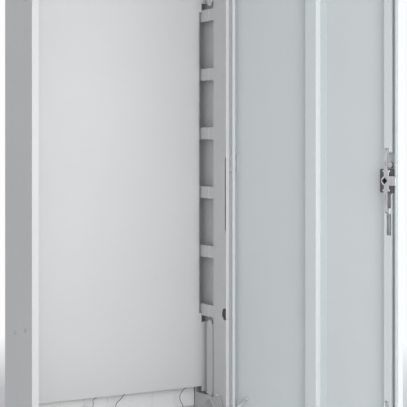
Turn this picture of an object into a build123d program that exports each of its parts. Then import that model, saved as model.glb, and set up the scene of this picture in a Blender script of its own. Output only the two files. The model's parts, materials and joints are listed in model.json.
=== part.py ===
from build123d import *
import os

# Floor-standing industrial switchboard cabinet, door standing open.
# Millimetres, +Z up. Origin: centre of the footprint on the floor.
# +X is to the right of a person facing the cabinet, the open front faces -Y.

# ---- driving dimensions ----
WIDTH = 800.0
HEIGHT = 2000.0
DEPTH = 250.0
SHEET = 1.5
FLANGE = 25.0
SYSTEM_PITCH = 225.0
DOOR_OPEN_ANGLE = 102.0

SIDE = WIDTH / 2
FRONT = -DEPTH / 2
BACK = DEPTH / 2
MID_HEIGHT = HEIGHT / 2
INNER_SIDE = SIDE - FLANGE

# ---- body sheet metal ----
FLANGE_BACK = FRONT + SHEET
REAR_LIP = 20.0
REAR_SKIN = BACK - SHEET
ROOF_FLANGE = 40.0
BASE_SHEET = 2.0
BASE_FLANGE = 60.0
SIDE_TOP = HEIGHT - SHEET
GLAND_OPENING = (180.0, 130.0)
GLAND_PLATE = (205.0, 155.0)
GLAND_PITCH = 215.0
FLOOR_HOLE = 14.0
FLOOR_HOLE_X = 347.0
FLOOR_HOLE_Y = 85.0
FLOOR_PLATE = (48.0, 50.0, 5.0)

# ---- uprights with their ladder of windows ----
UPRIGHT_REAR = FRONT + 240.0
UPRIGHT_FOOT = 15.0
WINDOW_FRONT = FRONT + 92.0
WINDOW_BACK = FRONT + 228.0
WINDOW_HEIGHT = 180.0
WINDOW_COUNT = 5
LONG_WINDOW_HEIGHT = 300.0
BAR = SYSTEM_PITCH - WINDOW_HEIGHT
BAR_RIDGE_Y = FRONT + 127.0
BAR_RIDGE = (3.0, 1.2)
HINGE_HEIGHTS = (90.0, 1000.0, 1910.0)
NOTCH_Z = 437.0
NOTCH_Y = FRONT + 8.0
NOTCH_RADIUS = 22.0

# ---- mounting plate ----
PLATE_FRONT = FRONT + 180.0
PLATE_SHEET = 3.0
PLATE_EDGE = 371.5
PLATE_EAR = 374.0
PLATE_HEIGHT = 1715.0
PLATE_WAIST = 1155.0
PLATE_FOLD = 28.0
PLATE_BEND = 14.0
BRACKET_SHEET = 2.5
BRACKET_BEND = 2.0
BRACKET_HEIGHT = 267.0
BRACKET_CENTRE = 744.5
BRACKET_FRONT = FRONT + 104.0
STUD_X = 363.0
STUD_OFFSETS = (-80.0, 80.0)

# ---- door, in the closed position ----
HINGE_X = SIDE - 5.0
HINGE_Y = FRONT - 8.0
DOOR_SKIN_Y = HINGE_Y - 20.0
DOOR_SKIN_IN = DOOR_SKIN_Y + SHEET
DOOR_RIM_Y = HINGE_Y + 5.0
DOOR_LEFT = -SIDE + 2.0
DOOR_RIGHT = SIDE
DOOR_BOTTOM = 10.0
DOOR_TOP = HEIGHT - 10.0
LEDGE_Y = HINGE_Y - 2.0
LEDGE_LOCK = 14.0
LEDGE_HINGE = 21.0
GASKET_TOP = HINGE_Y + 7.5
STILE_WIDTH = 31.0
LOCK_STILE_EDGE = 28.0
RAIL_END = 35.0
STIFFENER_CENTRE = HINGE_X - 404.0
STIFFENER_TOP = 50.0
STIFFENER_FLANGE = 26.5

# ---- hinges ----
KNUCKLE_RADIUS = 5.0
PIN_RADIUS = 3.0
PIN_CLEARANCE = 0.05
HINGE_LENGTH = 60.0
DOOR_KNUCKLE = 24.0
KNUCKLE_GAP = 0.5
HINGE_NOTCH = 70.0
LEAF_SHEET = 2.5

# ---- three-point lock ----
LOCK_X = DOOR_LEFT + 48.0
LOCK_Z = 950.0
HOUSING = (56.0, 78.0)
HOUSING_TOP = HINGE_Y + 6.0
COVER_SHEET = 2.0
COVER_STRIP = (20.0, 70.0)
COVER_END = (30.0, 7.0)
SHAFT_RADIUS = 11.0
SHAFT_CLEARANCE = 0.05
SPINDLE_SQUARE = 15.0
CAM_Y = HINGE_Y + 11.2
CAM_SHEET = 4.0
CAM_RADIUS = 15.5
TONGUE_TIP = DOOR_LEFT + 2.0
TONGUE_HEIGHT = 31.0
ROD_WIDTH = 16.0
ROD_SHEET = 2.5
ROD_LINK_Y = HINGE_Y + 8.3
ROD_INNER_Y = HINGE_Y - 6.0
ROD_END_Y = HINGE_Y + 10.5
LINK_START = 34.0
LINK_END = 95.0
ROD_JOGGLE = 17.0
ROD_TOP = HEIGHT - 25.0
ROD_BOTTOM = 45.0
UPPER_EXIT = 1790.0
LOWER_EXIT = 210.0
GUIDE_HEIGHTS = (300.0, 600.0, 1300.0, 1600.0)
HANDLE_LENGTH = 125.0
KEY_Z = LOCK_Z + 52.0
KEY_RADIUS = 9.0
EARTH_Z = 130.0

HINGE_AXIS = Axis((HINGE_X, HINGE_Y, 0), (0, 0, 1))


def sheet_profile(points, thickness, side):
    """Cross-section of a folded sheet: an open line given one-sided thickness."""
    with BuildSketch() as profile:
        with BuildLine():
            Polyline(*points)
            offset(amount=thickness, side=side)
        make_face()
    return profile.sketch


def swing_open(piece):
    """Turn a door piece from closed to its rest angle about the hinge axis."""
    piece.part = piece.part.rotate(HINGE_AXIS, DOOR_OPEN_ANGLE)


def front_plane(y):
    """Sketch plane at depth y whose x is global X and whose y is global Z, facing -Y."""
    return Plane(origin=(0, y, 0), x_dir=(1, 0, 0), z_dir=(0, -1, 0))


def side_plane(x):
    """Sketch plane at width x whose x is global Y and whose y is global Z, facing +X."""
    return Plane(origin=(x, 0, 0), x_dir=(0, 1, 0), z_dir=(1, 0, 0))


def span(low, high):
    """Centre and length of an interval."""
    return (low + high) / 2, high - low


# ================= cabinet body =================

def side_wall_outline(sign):
    """Front flange, side and rear lip of one side wall, outer line."""
    return [
        (sign * INNER_SIDE, FRONT),
        (sign * SIDE, FRONT),
        (sign * SIDE, REAR_SKIN),
        (sign * (SIDE - REAR_LIP), REAR_SKIN),
    ]


PLUG_RADIUS = 5.0
PLUG_HEAD = 8.0
PLUG_HEAD_SHEET = 2.5
PLUG_PLACES = ((FRONT + 58.0, 427.0), (FRONT + 155.0, 409.0))
REAR_SCREW_RADIUS = 2.5
REAR_SCREW_ZS = [100.0 + 300.0 * i for i in range(7)]
REAR_SCREW_X = SIDE - 11.0
CROSS_RECESS = (5.0, 1.1)
HINGE_SLOT = (9.0, 62.0)
HINGE_SLOT_X = HINGE_X - 0.5

with BuildPart() as left_side_wall:
    with BuildSketch():
        add(sheet_profile(side_wall_outline(-1), SHEET, Side.RIGHT))
    extrude(amount=SIDE_TOP)
    with BuildSketch(side_plane(-SIDE)):
        for y, z in PLUG_PLACES:
            with Locations((y, z), (y, HEIGHT - z)):
                Circle(PLUG_RADIUS)
    extrude(amount=SHEET, mode=Mode.SUBTRACT)
    with BuildSketch(front_plane(REAR_SKIN)):
        for z in REAR_SCREW_ZS:
            with Locations((-REAR_SCREW_X, z)):
                Circle(REAR_SCREW_RADIUS)
    extrude(amount=SHEET, mode=Mode.SUBTRACT)

with BuildPart() as right_side_wall:
    mirror(left_side_wall.part, about=Plane.YZ)
    with BuildSketch(front_plane(FLANGE_BACK)):
        for z in HINGE_HEIGHTS:
            with Locations((HINGE_SLOT_X, z)):
                Rectangle(*HINGE_SLOT)
    extrude(amount=SHEET, mode=Mode.SUBTRACT)

LIFT_X = 355.0
LIFT_Y = 75.0
LIFT_STUD = 6.0

with BuildPart() as roof_panel:
    with BuildSketch(Plane.XY.offset(SIDE_TOP)):
        with Locations((0, span(FRONT, REAR_SKIN)[0])):
            Rectangle(WIDTH, REAR_SKIN - FRONT)
        with Locations((0, 0)):
            with GridLocations(2 * LIFT_X, 2 * LIFT_Y, 2, 2):
                Circle(LIFT_STUD, mode=Mode.SUBTRACT)
    extrude(amount=SHEET)
    with BuildSketch(Plane.XY.offset(SIDE_TOP)):
        with Locations((0, span(FRONT, FLANGE_BACK)[0])):
            Rectangle(2 * INNER_SIDE, SHEET)
    extrude(amount=-(SIDE_TOP - (HEIGHT - ROOF_FLANGE)))
    with BuildSketch(Plane.XY.offset(SIDE_TOP)):
        with Locations((0, REAR_SKIN - SHEET / 2)):
            Rectangle(2 * (SIDE - REAR_LIP), SHEET)
    extrude(amount=-REAR_LIP)

with BuildPart() as base_frame:
    with BuildSketch():
        with Locations((0, span(FLANGE_BACK, REAR_SKIN - SHEET)[0])):
            Rectangle(2 * (SIDE - SHEET), REAR_SKIN - SHEET - FLANGE_BACK)
        with GridLocations(GLAND_PITCH, 0, 3, 1):
            Rectangle(*GLAND_OPENING, mode=Mode.SUBTRACT)
        with GridLocations(2 * FLOOR_HOLE_X, 2 * FLOOR_HOLE_Y, 2, 2):
            Circle(FLOOR_HOLE / 2, mode=Mode.SUBTRACT)
    extrude(amount=BASE_SHEET)
    with BuildSketch():
        with Locations((0, span(FRONT, FLANGE_BACK)[0])):
            Rectangle(2 * INNER_SIDE, SHEET)
        with Locations((0, REAR_SKIN - SHEET / 2)):
            Rectangle(2 * (SIDE - REAR_LIP), SHEET)
    extrude(amount=BASE_FLANGE)

with BuildPart() as floor_fixing_plates:
    with BuildSketch(Plane.XY.offset(BASE_SHEET)):
        with GridLocations(2 * FLOOR_HOLE_X, 2 * FLOOR_HOLE_Y, 2, 2):
            Rectangle(FLOOR_PLATE[0], FLOOR_PLATE[1])
            Circle(FLOOR_HOLE / 2, mode=Mode.SUBTRACT)
    extrude(amount=FLOOR_PLATE[2])

GLAND_SHEET = 2.0
GLAND_SEAL_SHEET = 1.5
GLAND_SCREW_SPAN = (193.0, 143.0)

with BuildPart() as gland_seals:
    with BuildSketch(Plane.XY.offset(BASE_SHEET)):
        with GridLocations(GLAND_PITCH, 0, 3, 1):
            Rectangle(*GLAND_PLATE)
            Rectangle(*GLAND_OPENING, mode=Mode.SUBTRACT)
    extrude(amount=GLAND_SEAL_SHEET)

GLAND_Z = BASE_SHEET + GLAND_SEAL_SHEET

with BuildPart() as gland_plates:
    with BuildSketch(Plane.XY.offset(GLAND_Z)):
        with GridLocations(GLAND_PITCH, 0, 3, 1):
            Rectangle(*GLAND_PLATE)
    extrude(amount=GLAND_SHEET)

with BuildPart() as gland_plate_screws:
    with BuildSketch(Plane.XY.offset(GLAND_Z + GLAND_SHEET)):
        with GridLocations(GLAND_PITCH, 0, 3, 1):
            with GridLocations(*GLAND_SCREW_SPAN, 2, 2):
                RegularPolygon(4.5, 6)
    extrude(amount=3.5)
    chamfer(faces().sort_by(Axis.Z)[-12:].edges(), 0.6)

with BuildPart() as rear_panel:
    with BuildSketch(front_plane(BACK)):
        with Locations((0, MID_HEIGHT)):
            RectangleRounded(WIDTH - 4, HEIGHT - 4, 3)
        for z in REAR_SCREW_ZS:
            for x in (-REAR_SCREW_X, REAR_SCREW_X):
                with Locations((x, z)):
                    Circle(REAR_SCREW_RADIUS, mode=Mode.SUBTRACT)
    extrude(amount=SHEET)

with BuildPart() as rear_panel_screws:
    with BuildSketch(front_plane(BACK)):
        for z in REAR_SCREW_ZS:
            for x in (-REAR_SCREW_X, REAR_SCREW_X):
                with Locations((x, z)):
                    Circle(REAR_SCREW_RADIUS)
    extrude(amount=6)
    with BuildSketch(front_plane(BACK)):
        for z in REAR_SCREW_ZS:
            for x in (-REAR_SCREW_X, REAR_SCREW_X):
                with Locations((x, z)):
                    Circle(5)
    extrude(amount=-2)
    fillet(faces().sort_by(Axis.Y)[-len(REAR_SCREW_ZS) * 2:].edges(), 1.2)
    with BuildSketch(front_plane(BACK + 2)):
        for z in REAR_SCREW_ZS:
            for x in (-REAR_SCREW_X, REAR_SCREW_X):
                with Locations((x, z)):
                    Rectangle(*CROSS_RECESS)
                    Rectangle(*CROSS_RECESS, rotation=90)
    extrude(amount=1.2, mode=Mode.SUBTRACT)

RIB_PITCH = 95.0
RIB_COUNT = 7
GROOVE = (2.2, 1.5)
RAIL_BOTTOM = BASE_FLANGE
RAIL_TOP = 240.0
RAIL_SHEET = 2.0
RAIL_FRONT = REAR_SKIN - 13.5
RAIL_HALF = 372.0

with BuildPart() as rear_base_rail:
    with BuildSketch(side_plane(-RAIL_HALF)):
        add(sheet_profile(
            [(REAR_SKIN - 2 * SHEET, RAIL_BOTTOM), (RAIL_FRONT, RAIL_BOTTOM),
             (RAIL_FRONT, RAIL_TOP), (REAR_SKIN - 2 * SHEET, RAIL_TOP)],
            RAIL_SHEET, Side.RIGHT))
    extrude(amount=2 * RAIL_HALF)
    with BuildSketch(front_plane(RAIL_FRONT + GROOVE[1])):
        with Locations((0, span(RAIL_BOTTOM, RAIL_TOP)[0])):
            with GridLocations(RIB_PITCH, 0, RIB_COUNT, 1):
                Rectangle(GROOVE[0], RAIL_TOP - RAIL_BOTTOM)
    extrude(amount=GROOVE[1], mode=Mode.SUBTRACT)


# ================= uprights =================

def upright_outline(sign):
    """Foot behind the front flange, inner web and rear leg out to the side wall."""
    return [
        (sign * (INNER_SIDE + UPRIGHT_FOOT), FLANGE_BACK),
        (sign * INNER_SIDE, FLANGE_BACK),
        (sign * INNER_SIDE, UPRIGHT_REAR),
        (sign * (SIDE - SHEET), UPRIGHT_REAR),
    ]


LADDER_TOP = (WINDOW_COUNT - 1) / 2 * SYSTEM_PITCH + WINDOW_HEIGHT / 2
LONG_WINDOW_CENTRE = LADDER_TOP + BAR + LONG_WINDOW_HEIGHT / 2
LATCH_SLOT = (747.0, 1021.0)
LATCH_SLOT_BACK = FRONT + 9.0
CAP_BORE = 22.0
CAP_Y = FRONT + 118.0
CAP_Z = 78.0

with BuildPart() as right_upright:
    with BuildSketch(Plane.XY.offset(BASE_SHEET)):
        add(sheet_profile(upright_outline(1), SHEET, Side.RIGHT))
    extrude(amount=SIDE_TOP - BASE_SHEET)
    with BuildSketch(side_plane(INNER_SIDE)):
        with Locations((span(WINDOW_FRONT, WINDOW_BACK)[0], MID_HEIGHT)):
            with GridLocations(0, SYSTEM_PITCH, 1, WINDOW_COUNT):
                RectangleRounded(WINDOW_BACK - WINDOW_FRONT, WINDOW_HEIGHT, 4)
            with GridLocations(0, 2 * LONG_WINDOW_CENTRE, 1, 2):
                RectangleRounded(WINDOW_BACK - WINDOW_FRONT, LONG_WINDOW_HEIGHT, 4)
        with Locations((CAP_Y, CAP_Z), (CAP_Y, HEIGHT - CAP_Z)):
            Circle(CAP_BORE)
    extrude(amount=SHEET, mode=Mode.SUBTRACT)
    with BuildSketch(side_plane(INNER_SIDE)):
        with Locations((NOTCH_Y, NOTCH_Z)):
            Circle(NOTCH_RADIUS)
        with Locations((span(FLANGE_BACK, LATCH_SLOT_BACK)[0], span(*LATCH_SLOT)[0])):
            Rectangle(LATCH_SLOT_BACK - FLANGE_BACK, LATCH_SLOT[1] - LATCH_SLOT[0])
    extrude(amount=UPRIGHT_FOOT, mode=Mode.SUBTRACT)
    with BuildSketch(front_plane(FLANGE_BACK + SHEET)):
        for z in HINGE_HEIGHTS:
            with Locations((INNER_SIDE + SHEET + UPRIGHT_FOOT / 2, z)):
                Rectangle(UPRIGHT_FOOT, HINGE_SLOT[1])
    extrude(amount=SHEET, mode=Mode.SUBTRACT)
    with BuildSketch(side_plane(INNER_SIDE)):
        with Locations((BAR_RIDGE_Y, MID_HEIGHT)):
            with GridLocations(0, SYSTEM_PITCH, 1, WINDOW_COUNT + 1):
                Rectangle(BAR_RIDGE[0], BAR)
    extrude(amount=-BAR_RIDGE[1])

with BuildPart() as left_upright:
    mirror(right_upright.part, about=Plane.YZ)

CAP_HEAD = 26.0
CAP_DISH = 19.0
CAP_SHEET = 3.0

with BuildPart() as upright_caps:
    for sign in (-1, 1):
        with BuildSketch(side_plane(sign * INNER_SIDE)):
            with Locations((CAP_Y, CAP_Z), (CAP_Y, HEIGHT - CAP_Z)):
                Circle(CAP_HEAD)
        extrude(amount=-sign * CAP_SHEET)
    inner_faces = faces().filter_by(Axis.X).filter_by(
        lambda f: abs(f.center().X) < INNER_SIDE - 1)
    fillet(inner_faces.edges(), 2)
    for sign in (-1, 1):
        with BuildSketch(side_plane(sign * (INNER_SIDE - CAP_SHEET))):
            with Locations((CAP_Y, CAP_Z), (CAP_Y, HEIGHT - CAP_Z)):
                Circle(CAP_DISH)
        extrude(amount=sign * 1.5, mode=Mode.SUBTRACT)
    for sign in (-1, 1):
        with BuildSketch(side_plane(sign * INNER_SIDE)):
            with Locations((CAP_Y, CAP_Z), (CAP_Y, HEIGHT - CAP_Z)):
                Circle(CAP_BORE)
                Circle(CAP_BORE - 2, mode=Mode.SUBTRACT)
        extrude(amount=sign * 8)

with BuildPart() as side_plugs:
    for sign in (-1, 1):
        with BuildSketch(side_plane(sign * SIDE)):
            for y, z in PLUG_PLACES:
                with Locations((y, z), (y, HEIGHT - z)):
                    Circle(PLUG_HEAD)
        extrude(amount=sign * PLUG_HEAD_SHEET)
    outer = faces().filter_by(Axis.X).group_by(Axis.X)
    fillet(ShapeList(outer[0] + outer[-1]).edges(), 2)
    for sign in (-1, 1):
        with BuildSketch(side_plane(sign * SIDE)):
            for y, z in PLUG_PLACES:
                with Locations((y, z), (y, HEIGHT - z)):
                    Circle(PLUG_RADIUS)
        extrude(amount=-sign * 6)

# ================= mounting plate =================

PLATE_BACK = PLATE_FRONT + PLATE_SHEET
EAR_HEIGHT = (PLATE_HEIGHT - PLATE_WAIST) / 2
EAR_CENTRE = (PLATE_HEIGHT + PLATE_WAIST) / 4
PLATE_HEM = 15.0

STUD_ZS = [
    MID_HEIGHT + sign * BRACKET_CENTRE + dz for sign in (-1, 1) for dz in STUD_OFFSETS
]
STUD_RADIUS = 3.0
STUD_LENGTH = 15.0

with BuildPart() as mounting_plate:
    with BuildSketch(Plane.XY.offset(MID_HEIGHT - PLATE_WAIST / 2)):
        add(sheet_profile(
            [(-PLATE_EDGE, PLATE_FRONT + PLATE_FOLD), (-PLATE_EDGE, PLATE_FRONT),
             (PLATE_EDGE, PLATE_FRONT), (PLATE_EDGE, PLATE_FRONT + PLATE_FOLD)],
            PLATE_SHEET, Side.LEFT))
    extrude(amount=PLATE_WAIST)
    inner_corners = edges().filter_by(Axis.Z).filter_by(
        lambda e: abs(e.center().Y - PLATE_BACK) < 0.01)
    fillet(inner_corners, PLATE_BEND - PLATE_SHEET)
    fillet(edges().filter_by(Axis.Z).group_by(Axis.Y)[0], PLATE_BEND)
    with BuildSketch(front_plane(PLATE_BACK)):
        with Locations((0, MID_HEIGHT)):
            with GridLocations(0, 2 * EAR_CENTRE, 1, 2):
                Rectangle(2 * PLATE_EAR, EAR_HEIGHT)
    extrude(amount=PLATE_SHEET)
    with BuildSketch(front_plane(PLATE_BACK)):
        with Locations((0, MID_HEIGHT)):
            with GridLocations(0, PLATE_HEIGHT - PLATE_SHEET, 1, 2):
                Rectangle(2 * (PLATE_EDGE - 30), PLATE_SHEET)
    extrude(amount=-PLATE_HEM)

with BuildPart() as plate_studs:
    with BuildSketch(front_plane(PLATE_BACK)):
        for z in STUD_ZS:
            with Locations((-STUD_X, z), (STUD_X, z)):
                Circle(STUD_RADIUS)
    extrude(amount=-STUD_LENGTH)

BRACKET_TAB = 350.0
BRACKET_FACE = 378.0
BRACKET_BACK = FRONT + 148.0
BRACKET_FOOT = SIDE - SHEET - BRACKET_SHEET
BRACKET_LUG = (30.0, 24.0)
LUG_Y = FRONT + 126.0
TAB_CUT = (363.5, 864.0, 27.0, 28.0)


def bracket_outline(sign):
    """Box-shaped post on the side wall, then a foot along the wall and a tab behind the plate."""
    return [
        (sign * (SIDE - SHEET), BRACKET_FRONT),
        (sign * BRACKET_FACE, BRACKET_FRONT),
        (sign * BRACKET_FACE, BRACKET_BACK),
        (sign * BRACKET_FOOT, BRACKET_BACK),
        (sign * BRACKET_FOOT, PLATE_BACK),
        (sign * BRACKET_TAB, PLATE_BACK),
    ]


with BuildPart() as plate_brackets:
    for sign in (-1, 1):
        for end in (-1, 1):
            bottom = MID_HEIGHT + end * BRACKET_CENTRE - BRACKET_HEIGHT / 2
            with BuildSketch(Plane.XY.offset(bottom)):
                add(sheet_profile(
                    bracket_outline(sign), BRACKET_SHEET, Side.RIGHT if sign > 0 else Side.LEFT))
            extrude(amount=BRACKET_HEIGHT)
    post_corners = edges().filter_by(Axis.Z).filter_by(
        lambda e: abs(abs(e.center().X) - BRACKET_FACE) < 0.01)
    fillet(post_corners, BRACKET_BEND)
    with BuildSketch(front_plane(PLATE_BACK + BRACKET_SHEET)):
        with Locations((0, MID_HEIGHT)):
            with GridLocations(2 * TAB_CUT[0], 2 * TAB_CUT[1], 2, 2):
                Rectangle(TAB_CUT[2], TAB_CUT[3])
    extrude(amount=BRACKET_SHEET, mode=Mode.SUBTRACT)
    for sign in (-1, 1):
        with BuildSketch(side_plane(sign * BRACKET_FACE)):
            for end in (-1, 1):
                post_centre = MID_HEIGHT + end * BRACKET_CENTRE
                for dz in (-BRACKET_HEIGHT / 2, BRACKET_HEIGHT / 2):
                    with Locations((LUG_Y, post_centre + dz)):
                        RectangleRounded(*BRACKET_LUG, 9)
        extrude(amount=sign * BRACKET_SHEET)
    with BuildSketch(front_plane(PLATE_BACK + BRACKET_SHEET)):
        for z in STUD_ZS:
            with Locations((-STUD_X, z), (STUD_X, z)):
                Circle(STUD_RADIUS)
    extrude(amount=BRACKET_SHEET, mode=Mode.SUBTRACT)

NUT_Y = PLATE_BACK + BRACKET_SHEET
NUT_FLANGE = 8.0
NUT_HEX = 5.7

with BuildPart() as plate_nuts:
    with BuildSketch(front_plane(NUT_Y)):
        for z in STUD_ZS:
            with Locations((-STUD_X, z), (STUD_X, z)):
                Circle(NUT_FLANGE)
                Circle(STUD_RADIUS, mode=Mode.SUBTRACT)
    extrude(amount=-1.5)
    with BuildSketch(front_plane(NUT_Y + 1.5)):
        for z in STUD_ZS:
            with Locations((-STUD_X, z), (STUD_X, z)):
                RegularPolygon(NUT_HEX, 6)
                Circle(STUD_RADIUS, mode=Mode.SUBTRACT)
    extrude(amount=-5)

# ---- earth leads hanging below the mounting plate ----
LEAD_RADIUS = 1.4
LEAD_Y = PLATE_FRONT + 9.0
LEAD_TOP = MID_HEIGHT - PLATE_HEIGHT / 2
LEAD_SHAPES = (
    ((-68, 0), (-81, -9), (-80, -18), (-91, -38), (-104, -62)),
    ((48, 0), (33, -14), (15, -30), (12, -50), (16, -72)),
    ((308, 0), (295, -10), (284, -28), (286, -46), (299, -74)),
)
LUG = (4.5, 1.5)


def hanging_lead(shape):
    """Lead curve from the plate's lower edge, as points on the lead plane."""
    return [(x, LEAD_Y, LEAD_TOP - LUG[1] - LEAD_RADIUS + z) for x, z in shape]


with BuildPart() as earth_leads:
    for shape in LEAD_SHAPES:
        points = hanging_lead(shape)
        with BuildLine() as lead_path:
            Spline(*points, tangents=((-1, 0, -0.4), (0.3, 0, -1)))
        with BuildSketch(Plane(origin=lead_path.line @ 0, z_dir=lead_path.line % 0)):
            Circle(LEAD_RADIUS)
        sweep(path=lead_path.line)
    for shape in LEAD_SHAPES:
        with BuildSketch(Plane.XY.offset(LEAD_TOP - LUG[1])):
            with Locations((shape[0][0] + 3, LEAD_Y)):
                Circle(LUG[0])
        extrude(amount=LUG[1])
        with BuildSketch(Plane.XY.offset(LEAD_TOP - LUG[1] - 2 * LEAD_RADIUS)):
            with Locations((shape[0][0] + 1, LEAD_Y)):
                Circle(LEAD_RADIUS + 0.6)
        extrude(amount=2 * LEAD_RADIUS)

# ---- lifting eyes ----
EYE_RADIUS = 27.0
EYE_BORE = 15.0
EYE_SHEET = 12.0
EYE_COLLAR = (20.0, 6.0)
EYE_CENTRE = HEIGHT + EYE_COLLAR[1] + EYE_RADIUS - 3.0

with BuildPart() as lifting_eyes:
    for y in (-LIFT_Y, LIFT_Y):
        with BuildSketch(front_plane(y + EYE_SHEET / 2)):
            with Locations((-LIFT_X, EYE_CENTRE), (LIFT_X, EYE_CENTRE)):
                Circle(EYE_RADIUS)
        extrude(amount=EYE_SHEET)
    fillet(faces().filter_by(Axis.Y).edges(), 3)
    for y in (-LIFT_Y, LIFT_Y):
        with BuildSketch(front_plane(y + EYE_SHEET / 2)):
            with Locations((-LIFT_X, EYE_CENTRE), (LIFT_X, EYE_CENTRE)):
                Circle(EYE_BORE)
        extrude(amount=EYE_SHEET, mode=Mode.SUBTRACT)
    with BuildSketch(Plane.XY.offset(HEIGHT)):
        with GridLocations(2 * LIFT_X, 2 * LIFT_Y, 2, 2):
            Circle(EYE_COLLAR[0])
    extrude(amount=EYE_COLLAR[1])
    with BuildSketch(Plane.XY.offset(HEIGHT)):
        with GridLocations(2 * LIFT_X, 2 * LIFT_Y, 2, 2):
            Circle(LIFT_STUD)
    extrude(amount=-22)

with BuildPart() as lifting_eye_nuts:
    with BuildSketch(Plane.XY.offset(SIDE_TOP)):
        with GridLocations(2 * LIFT_X, 2 * LIFT_Y, 2, 2):
            Circle(17)
            Circle(LIFT_STUD, mode=Mode.SUBTRACT)
    extrude(amount=-3)
    with BuildSketch(Plane.XY.offset(SIDE_TOP - 3)):
        with GridLocations(2 * LIFT_X, 2 * LIFT_Y, 2, 2):
            RegularPolygon(10.4, 6)
            Circle(LIFT_STUD, mode=Mode.SUBTRACT)
    extrude(amount=-10)

# ================= door (modelled closed, then swung open) =================

DOOR_MID_X, DOOR_WIDTH = span(DOOR_LEFT, DOOR_RIGHT)
DOOR_MID_Z, DOOR_HEIGHT = span(DOOR_BOTTOM, DOOR_TOP)
RIM = SHEET

ESCUTCHEON = (38.0, 150.0, 5.0)
ESCUTCHEON_Z = LOCK_Z + 14.0


with BuildPart() as door_panel:
    with BuildSketch(front_plane(DOOR_SKIN_IN)):
        with Locations((DOOR_MID_X, DOOR_MID_Z)):
            Rectangle(DOOR_WIDTH, DOOR_HEIGHT)
    extrude(amount=SHEET)
    with BuildSketch(front_plane(DOOR_RIM_Y)):
        with Locations((DOOR_MID_X, DOOR_MID_Z)):
            Rectangle(DOOR_WIDTH, DOOR_HEIGHT)
            Rectangle(DOOR_WIDTH - 2 * RIM, DOOR_HEIGHT - 2 * RIM, mode=Mode.SUBTRACT)
    extrude(amount=DOOR_RIM_Y - DOOR_SKIN_IN)
    fillet(edges().filter_by(Axis.Y).filter_by(
        lambda e: abs(e.center().X - DOOR_MID_X) > DOOR_WIDTH / 2 - 0.1), 2)
    with BuildSketch(front_plane(LEDGE_Y + SHEET)):
        with Locations((DOOR_MID_X, DOOR_MID_Z)):
            Rectangle(DOOR_WIDTH - 2 * RIM, DOOR_HEIGHT - 2 * RIM)
        with Locations(((DOOR_LEFT + LEDGE_LOCK + DOOR_RIGHT - LEDGE_HINGE) / 2, DOOR_MID_Z)):
            Rectangle(DOOR_WIDTH - LEDGE_LOCK - LEDGE_HINGE, DOOR_HEIGHT - 2 * LEDGE_LOCK,
                      mode=Mode.SUBTRACT)
    extrude(amount=SHEET)
    with BuildSketch(front_plane(DOOR_RIM_Y)):
        for z in HINGE_HEIGHTS:
            with Locations((DOOR_RIGHT - 6, z)):
                Rectangle(12, HINGE_NOTCH)
    extrude(amount=DOOR_RIM_Y - DOOR_SKIN_IN, mode=Mode.SUBTRACT)
    with BuildSketch(front_plane(DOOR_SKIN_IN)):
        with Locations((LOCK_X, LOCK_Z)):
            Circle(SHAFT_RADIUS + 2)
        with Locations((LOCK_X, KEY_Z)):
            Circle(KEY_RADIUS + 1.5)
    extrude(amount=SHEET, mode=Mode.SUBTRACT)

GASKET_LOCK = (2.5, 13.5)
GASKET_HINGE = (11.0, 20.0)

with BuildPart() as door_gasket:
    with BuildSketch(front_plane(LEDGE_Y + SHEET)):
        outer_left = DOOR_LEFT + GASKET_LOCK[0]
        outer_right = DOOR_RIGHT - GASKET_HINGE[0]
        inner_left = DOOR_LEFT + GASKET_LOCK[1]
        inner_right = DOOR_RIGHT - GASKET_HINGE[1]
        with Locations(((outer_left + outer_right) / 2, DOOR_MID_Z)):
            RectangleRounded(outer_right - outer_left, DOOR_HEIGHT - 2 * GASKET_LOCK[0], 6)
        with Locations(((inner_left + inner_right) / 2, DOOR_MID_Z)):
            RectangleRounded(inner_right - inner_left, DOOR_HEIGHT - 2 * GASKET_LOCK[1], 2,
                             mode=Mode.SUBTRACT)
    extrude(amount=-(GASKET_TOP - LEDGE_Y - SHEET))
    fillet(faces().sort_by(Axis.Y)[-1].edges(), 2.5)

# ---- inner stiffening frame of the door ----
STILE_FLOOR = DOOR_SKIN_IN
STILE_TOP = DOOR_RIM_Y


def channel_outline(left, right):
    """Open channel standing on the door skin, legs at left and right, outer line."""
    return [(left, STILE_FLOOR), (left, STILE_TOP), (right, STILE_TOP), (right, STILE_FLOOR)]


STILE_BOTTOM = DOOR_BOTTOM + LOCK_STILE_EDGE
STILE_LENGTH = DOOR_HEIGHT - 2 * LOCK_STILE_EDGE
LOCK_STILE = (DOOR_LEFT + LOCK_STILE_EDGE, DOOR_LEFT + LOCK_STILE_EDGE + STILE_WIDTH)
LOCK_GAP_BOTTOM = LOCK_Z - 43.0
LOCK_GAP_TOP = LOCK_Z + LINK_END - 1.0
STILE_END = STILE_BOTTOM + STILE_LENGTH
STILE_OPENING = (DOOR_LEFT + 30.0, DOOR_LEFT + 49.0)
ROD_OPENING = 17.5
LOWER_OPENING_BOTTOM = 771.0
UPPER_WINDOWS = ((LOCK_GAP_TOP, 1056.5), (1774.0, 1803.0))
LOWER_WINDOWS = ((843.5, LOCK_GAP_BOTTOM), (197.0, 226.0))

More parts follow.
